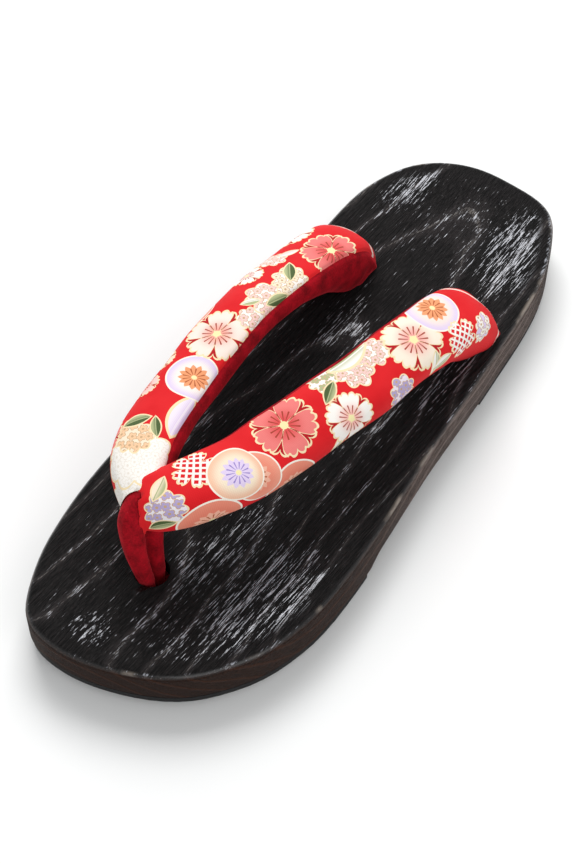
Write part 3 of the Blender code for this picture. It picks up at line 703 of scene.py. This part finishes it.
def wood_material():
    """Paulownia, burnt, brushed along the grain and thinly lacquered: black with raised lines that glint,
    partly by a painted highlight, and brown sides where the flame only stained it."""
    material, tree, shader = new_material("burnt_wood")
    place = add_node(tree, "TexCoord", out="Object")
    mm = add_node(tree, "VectorMath", {0: place, "Scale": 1000.0}, operation="SCALE")
    # Growth rings about 5 mm apart round a pith far below the block, deeper towards the heel
    warp = add_node(tree, "TexNoise", {"Vector": mm, "Scale": 0.018, "Detail": 2.0}, out="Color")
    bent = add_node(tree, "VectorMath", [warp, (16.0, 40.0, 6.0), mm], operation="MULTIPLY_ADD")
    split = add_node(tree, "SeparateXYZ", [bent], out=None).outputs
    dip = maths(tree, "MULTIPLY_ADD", split["Y"], 0.06, split["Z"])
    level = maths(tree, "ADD", dip, 34.0)
    cross = add_node(tree, "CombineXYZ", {"X": split["X"], "Y": level})
    ring = add_node(tree, "VectorMath", [cross], out="Value", operation="LENGTH")
    ring = maths(tree, "PINGPONG", ring, 2.6)
    late = add_node(tree, "MapRange", [ring, 0.0, 0.9, 1.0, 0.0], interpolation_type="SMOOTHSTEP")
    # Brushed fibres: coarse ones about 0.4 mm wide and 10 mm long, fine ones 0.2 mm wide and 2 mm long
    fibre_place = add_node(tree, "VectorMath", [mm, (2.5, 0.105, 2.5)], operation="MULTIPLY")
    fibre = add_node(tree, "TexNoise", {"Vector": fibre_place, "Scale": 1.0, "Detail": 2.0,
                                        "Roughness": 0.55}, out="Fac")
    fine_place = add_node(tree, "VectorMath", [mm, (4.6, 0.48, 4.6)], operation="MULTIPLY")
    fine = add_node(tree, "TexNoise", {"Vector": fine_place, "Scale": 1.0, "Detail": 2.0}, out="Fac")
    relief = maths(tree, "MULTIPLY_ADD", late, 0.35, fibre)
    relief = maths(tree, "MULTIPLY_ADD", fine, 0.45, relief)
    bump = add_node(tree, "Bump", {"Strength": 1.0, "Distance": 0.0009, "Height": relief})
    # Painted highlight: the raised lines lightened where they glint; the same mask also gives them a glossy
    # coat
    painted_glint_zone = add_node(tree, "TexNoise", {"Vector": mm, "Scale": 0.05, "Detail": 1.0}, out="Fac")
    painted_glint_zone = add_node(tree, "MapRange", [painted_glint_zone, 0.50, 0.75, 0.0, 0.45], interpolation_type="SMOOTHSTEP")
    for x, y, half_width, half_length, share in PAINTED_GLINT_ZONES:
        away = add_node(tree, "VectorMath", [mm, (x, y, 0)], operation="SUBTRACT")
        reach = (1 / half_width, 1 / half_length, 0)
        away = add_node(tree, "VectorMath", [away, reach], operation="MULTIPLY")
        away = add_node(tree, "VectorMath", [away], out="Value", operation="LENGTH")
        near = add_node(tree, "MapRange", [away, 0.6, 1.25, share, 0.0], interpolation_type="SMOOTHSTEP")
        painted_glint_zone = maths(tree, "MAXIMUM", painted_glint_zone, near)
    painted_glint_and_coat = maths(tree, "MULTIPLY_ADD", late, 0.10, fibre)
    painted_glint_and_coat = maths(tree, "MULTIPLY_ADD", fine, 0.42, painted_glint_and_coat)
    painted_glint_and_coat = maths(tree, "MULTIPLY_ADD", painted_glint_zone, 0.18, painted_glint_and_coat)
    painted_glint_and_coat = add_node(tree, "MapRange", [painted_glint_and_coat, 0.925, 1.02], interpolation_type="SMOOTHSTEP")
    spot = add_node(tree, "SeparateXYZ", [mm], out=None).outputs
    inland = add_node(tree, "MapRange", [spot["Z"], RIM_TOP, RIM_INSIDE], interpolation_type="SMOOTHSTEP")
    painted_glint_and_coat = maths(tree, "MULTIPLY", painted_glint_and_coat, inland)
    ash = add_node(tree, "MapRange", [relief, 0.62, 1.10])
    char = lay(tree, linear("#080707"), ash, linear("#2e2a2a"))
    trace = maths(tree, "COMPARE", ring, 0.0, 0.08)
    broken = add_node(tree, "MapRange", [fine, 0.46, 0.62, 0.0, 0.50], interpolation_type="SMOOTHSTEP")
    trace = maths(tree, "MULTIPLY", trace, broken)
    char = lay(tree, char, trace, linear("#8a8580"))
    # Painted highlight: pale grey on the raised lines where they glint
    deck = lay(tree, char, painted_glint_and_coat, linear("#a2a4ac"))
    # Sides: brown where the flame only stained them, greyer from the waist to
    # the front of the heel, with a pale line of glue below
    stain = add_node(tree, "MapRange", [relief, 0.55, 1.05])
    rearward = add_node(tree, "MapRange", [spot["Y"], -55.0, 25.0], interpolation_type="SMOOTHSTEP")
    heel = add_node(tree, "MapRange", [spot["Y"], 100.0, 72.0], interpolation_type="SMOOTHSTEP")
    rearward = maths(tree, "MULTIPLY", rearward, heel)
    dark_side = lay(tree, linear("#140905"), rearward, linear("#382a24"))
    light_side = lay(tree, linear("#3c2011"), rearward, linear("#80706a"))
    sides = lay(tree, dark_side, stain, light_side)
    sprung = maths(tree, "SUBTRACT", TOE_END + SPRING_RUN, spot["Y"])
    sprung = add_node(tree, "Math", [sprung, 1 / SPRING_RUN], operation="MULTIPLY", use_clamp=True)
    sprung = maths(tree, "POWER", sprung, SPRING_POWER)
    sprung = maths(tree, "MULTIPLY_ADD", sprung, -TOE_SPRING, spot["Z"])
    glue = maths(tree, "LESS_THAN", sprung, GLUE_TOP)
    sides = lay(tree, sides, glue, linear("#6b5c45"))
    normal = add_node(tree, "NewGeometry", out="Normal")
    rise = add_node(tree, "SeparateXYZ", [normal], out="Z")
    top = add_node(tree, "MapRange", [rise, 0.45, 0.85])
    colour = lay(tree, sides, top, deck)
    # Painted highlight: the rim lightened in patches where light catches it
    above = add_node(tree, "MapRange", [rise, 0.40, 0.60])
    below = add_node(tree, "MapRange", [rise, 0.97, 0.80])
    rim = maths(tree, "MULTIPLY", above, below)
    rim_highlight_patches = add_node(tree, "TexNoise", {"Vector": mm, "Scale": 0.045, "Detail": 3.0}, out="Fac")
    rim_highlight_patches = add_node(tree, "MapRange", [rim_highlight_patches, 0.54, 0.62], interpolation_type="SMOOTHSTEP")
    painted_rim_highlight = maths(tree, "MULTIPLY", rim, rim_highlight_patches)
    colour = lay(tree, colour, painted_rim_highlight, linear("#8f8378"))
    gloss = maths(tree, "MULTIPLY", painted_glint_and_coat, top)
    gloss = maths(tree, "MAXIMUM", gloss, rim)
    rough = add_node(tree, "MapRange", [fine, 0.3, 0.7, 0.72, 0.55])
    connect(tree, shader, {"Base Color": colour, "Roughness": rough, "Normal": bump, "Coat Weight": gloss,
                           "Coat Roughness": 0.20, "Specular IOR Level": 0.14})
    return material


def rubber_material():
    """Moulded sheet rubber: matt black with a fine grained skin."""
    material, tree, shader = new_material("black_rubber")
    place = add_node(tree, "TexCoord", out="Object")
    grain = add_node(tree, "TexVoronoi", {"Vector": place, "Scale": 1300.0}, out="Distance")
    cloud = add_node(tree, "TexNoise", {"Vector": place, "Scale": 60.0, "Detail": 3.0}, out="Fac")
    colour = lay(tree, linear("#0f0f10"), cloud, linear("#1e1e1f"))
    bump = add_node(tree, "Bump", {"Strength": 0.4, "Distance": 0.0002, "Height": grain})
    connect(tree, shader, {"Base Color": colour, "Roughness": 0.72, "Normal": bump,
                           "Specular IOR Level": 0.3})
    return material


def cotton_material():
    """Twisted cotton cord: unbleached, with strands that wind round it."""
    material, tree, shader = new_material("cotton_cord")
    place = add_node(tree, "TexCoord", out="Object")
    strand = add_node(tree, "TexWave", {"Vector": place, "Scale": 260.0, "Distortion": 1.5}, out="Fac",
                      bands_direction="DIAGONAL")
    colour = lay(tree, linear("#8d8471"), strand, linear("#cdc4b2"))
    bump = add_node(tree, "Bump", {"Strength": 0.6, "Distance": 0.0003, "Height": strand})
    connect(tree, shader, {"Base Color": colour, "Roughness": 0.9, "Normal": bump})
    return material


def floor_material():
    """A matt painted board."""
    material, tree, shader = new_material("pale_floor")
    connect(tree, shader, {"Base Color": linear("#f5f5f4"), "Roughness": 0.9, "Specular IOR Level": 0.1})
    return material


# Parts of the deck where the raised lines get a painted highlight: centre x and y, half width and half length
# in mm, share
PAINTED_GLINT_ZONES = (
    (16, 97, 15, 24, 1.00),
    (-34, 98, 9, 17, 0.80),
    (-17, 35, 6, 16, 0.55),
    (29, 36, 8, 20, 0.70),
    (30, -70, 15, 28, 0.85),
    (8, -62, 7, 26, 0.75),
    (-6, -108, 8, 7, 0.70),
    (18, -95, 14, 9, 0.50),
    (17, 8, 9, 28, 0.40),
)

# Heights on the sole, the end of its toe, and the rise of its underside there as in the part's source, in mm
RIM_TOP = 19.66
RIM_INSIDE = 19.50
GLUE_TOP = 4.1
TOE_END = -120
SPRING_RUN = 70.0
TOE_SPRING = 4.2
SPRING_POWER = 1.15

GOLD_LINE = "#f8e2b6"
STAMEN = "#a8402f"
WHITE = "#faf5ee"
CREAM = "#f8e6cc"
PINK = "#f7cfc8"
CORAL = "#ef7f7b"
SALMON = "#ee9078"
LILAC = "#e2d0ee"
VIOLET = "#9a86c8"
LEAF = "#4f6138"
MOSS = "#b3b98a"
ORANGE = "#f0a070"
TAN = "#cda983"
FAINT = "#ece4d8"
RUST = "#b3592f"

SHAPES = {
    "blossom": blossom_group(),
    "medallion": medallion_group(),
    "cloud": cloud_group(),
    "leaf": leaf_group(),
    "net": net_group(),
}

# Painted highlight near each arm's rear end, where light grazes the cloth: mm along the arm at the crown,
# slant, and half its width
INNER_RIM_HIGHLIGHT = (143.6, 0.30)
OUTER_RIM_HIGHLIGHT = (144.0, -0.64)
RIM_HIGHLIGHT_HALF_WIDTH = 0.75

# Prints on each arm, the lowest first. Columns: shape, mm along the arm from its front end, mm across it
# from the crown towards its outer side, size in mm, turn in degrees, colours.
INNER_PRINTS = (
    ("cloud", 8, 1, 8, 0, WHITE, CREAM, FAINT),
    ("cloud", 6, 8, 8, 0, WHITE, WHITE, FAINT),
    ("cloud", 18, 0, 11, 20, WHITE, WHITE, FAINT),
    ("cloud", 25, 3, 6.5, 50, CREAM, "#f4c9a0", TAN),
    ("leaf", 30.5, 3.8, 4.6, 60, LEAF, MOSS),
    ("leaf", 29.5, -3, 4.2, -25, LEAF, MOSS),
    ("leaf", 37, -8.5, 9.5, 0, LILAC, "#f3e8f4"),
    ("blossom", 46, 10.5, 5.5, 20, PINK, CORAL),
    ("blossom", 58, 11, 5.0, 50, CREAM, PINK),
    ("medallion", 53.5, -4.5, 9.4, 10, LILAC, "#f8efe6", ORANGE, RUST),
    ("blossom", 72.5, -1.5, 10.4, 12, "#fbe9dd", "#f2a595"),
    ("cloud", 84, -8, 5.0, 0, WHITE, PINK, TAN),
    ("cloud", 94, -7.5, 8.0, 30, WHITE, PINK, TAN),
    ("cloud", 105, -8.5, 7.6, 70, WHITE, CREAM, TAN),
    ("leaf", 96, -9.5, 5.0, 15, LEAF, MOSS),
    ("leaf", 109, -4.5, 5.0, -40, LEAF, MOSS),
    ("leaf", 89, -3.5, 3.4, 40, MOSS, WHITE),
    ("blossom", 101, 7.5, 5.8, 30, WHITE, PINK),
    ("cloud", 112, 6.5, 5.6, 10, "#fbeeea", PINK, TAN),
    ("leaf", 118, 3.5, 4.0, 30, WHITE, PINK),
    ("blossom", 127, -7.5, 10.2, 35, CORAL, "#df4f50"),
    ("blossom", 130, 12, 7.5, 0, WHITE, PINK),
    ("medallion", 80, 15, 8.0, 0, SALMON, CREAM, LILAC, VIOLET),
    ("blossom", 25, 15, 7.5, 15, CORAL, "#df4f50"),
)
OUTER_PRINTS = (
    ("cloud", 12, 8, 6.2, 0, "#f1ebf2", "#b9aad4", TAN),
    ("leaf", 12, 0.8, 4.4, 60, CREAM, MOSS),
    ("leaf", 10, 13.4, 4.6, 10, LEAF, MOSS),
    ("net", 23, -3.2, 6.6, 20, WHITE),
    ("medallion", 22.5, 17.5, 9.2, 0, SALMON, "#e9836c", "#f4b79e", RUST),
    ("medallion", 49, 18, 9.4, 0, SALMON, "#e9836c", "#f4b79e", RUST),
    ("medallion", 38, 7.0, 8.4, 0, "#f3a088", SALMON, "#f4b79e", RUST),
    ("medallion", 33, 3.6, 8.6, 0, "#f6c3a4", CREAM, LILAC, VIOLET),
    ("blossom", 55.5, -2.2, 10.6, 8, CORAL, "#df4f50"),
    ("leaf", 69, 13, 5.0, 40, WHITE, MOSS),
    ("blossom", 74.5, 8, 8.4, 25, WHITE, "#f4b8ad"),
    ("cloud", 76, -8.5, 6.0, 0, WHITE, MOSS, TAN),
    ("cloud", 86, -6.0, 8.0, 40, WHITE, PINK, TAN),
    ("cloud", 95, -6.0, 6.6, 80, WHITE, PINK, TAN),
    ("leaf", 74, -2.5, 4.6, 35, LEAF, MOSS),
    ("leaf", 88, -9.0, 9.0, 0, MOSS, WHITE),
    ("blossom", 109.5, 0.3, 10.6, 20, "#fbecd9", "#f3a9a0"),
    ("medallion", 124.5, -4.5, 9.4, 0, LILAC, "#f8e6da", ORANGE, RUST),
    ("net", 126.5, 9.8, 6.6, 0, WHITE),
    ("cloud", 138, 11, 5.0, 0, LILAC, WHITE, TAN),
    ("cloud", 95.5, 12.5, 6.0, 30, "#f2e6f2", "#b9aad4", TAN),
    ("leaf", 112, 11.5, 4.6, 70, WHITE, MOSS),
    ("leaf", 115, 12.5, 4.6, 10, WHITE, MOSS),
)

inner_cloth = printed_cloth("inner_arm_cloth", INNER_PRINTS, *INNER_RIM_HIGHLIGHT)
outer_cloth = printed_cloth("outer_arm_cloth", OUTER_PRINTS, *OUTER_RIM_HIGHLIGHT)
velvet = velvet_material()
wood = wood_material()
rubber = rubber_material()
cotton = cotton_material()

deck_tree = BVHTree.FromObject(nodes["wooden_sole"], bpy.context.evaluated_depsgraph_get())
# The part of the thong in front of the join, which the arms are pressed off
front_limit = JOIN[1] - FRONT_RUN * JOIN_HALF_WIDTH
thong_front = np.array([row[:3] for row in thong_path() if row[1] < front_limit])
inner_arm = make_arm("inner", [inner_cloth, velvet])
outer_arm = make_arm("outer", [outer_cloth, velvet])
for piece in (inner_arm, outer_arm):
    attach(piece, "root")
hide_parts("strap")

thong = make_thong(velvet)
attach(thong, "root")
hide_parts("front_thong")

sole = smooth_copy("wooden_sole", "burnt_sole", wood)
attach(sole, "root")
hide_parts("wooden_sole")

for name, material in (("fore_outsole", rubber), ("heel_outsole", rubber),
                       ("inner_rear_cord", cotton), ("outer_rear_cord", cotton)):
    nodes[name].data.materials.clear()
    nodes[name].data.materials.append(material)

camera_data = bpy.data.cameras.new("camera")
camera_data.lens = CAMERA_LENS
camera_data.sensor_fit = "HORIZONTAL"
camera_data.sensor_width = 36
camera = bpy.data.objects.new("camera", camera_data)
bpy.context.scene.collection.objects.link(camera)
camera.location = CAMERA_PLACE
camera.rotation_euler = (Vector(CAMERA_AIM) - Vector(CAMERA_PLACE)).to_track_quat("-Z", "Y").to_euler()
bpy.context.scene.camera = camera
bpy.context.scene.view_settings.view_transform = "Standard"

floor_mesh = bpy.data.meshes.new("floor")
corners = [(x * FLOOR_REACH, y * FLOOR_REACH, FLOOR_LEVEL) for x, y in ((-1, -1), (1, -1), (1, 1), (-1, 1))]
floor_mesh.from_pydata(corners, [], [(0, 1, 2, 3)])
floor_mesh.materials.append(floor_material())
floor = bpy.data.objects.new("floor", floor_mesh)
bpy.context.scene.collection.objects.link(floor)

world = bpy.data.worlds.new("studio")
world.use_nodes = True
world.node_tree.nodes["Background"].inputs["Color"].default_value = linear("#f4f6f8")
world.node_tree.nodes["Background"].inputs["Strength"].default_value = 0.55
bpy.context.scene.world = world
for name, place, size, power in LAMPS:
    light_data = bpy.data.lights.new(name, "AREA")
    light_data.shape = "SQUARE"
    light_data.size = size
    light_data.energy = power
    light = bpy.data.objects.new(name, light_data)
    bpy.context.scene.collection.objects.link(light)
    light.location = place
    light.rotation_euler = (Vector(LAMPS_AIM) - Vector(place)).to_track_quat("-Z", "Y").to_euler()
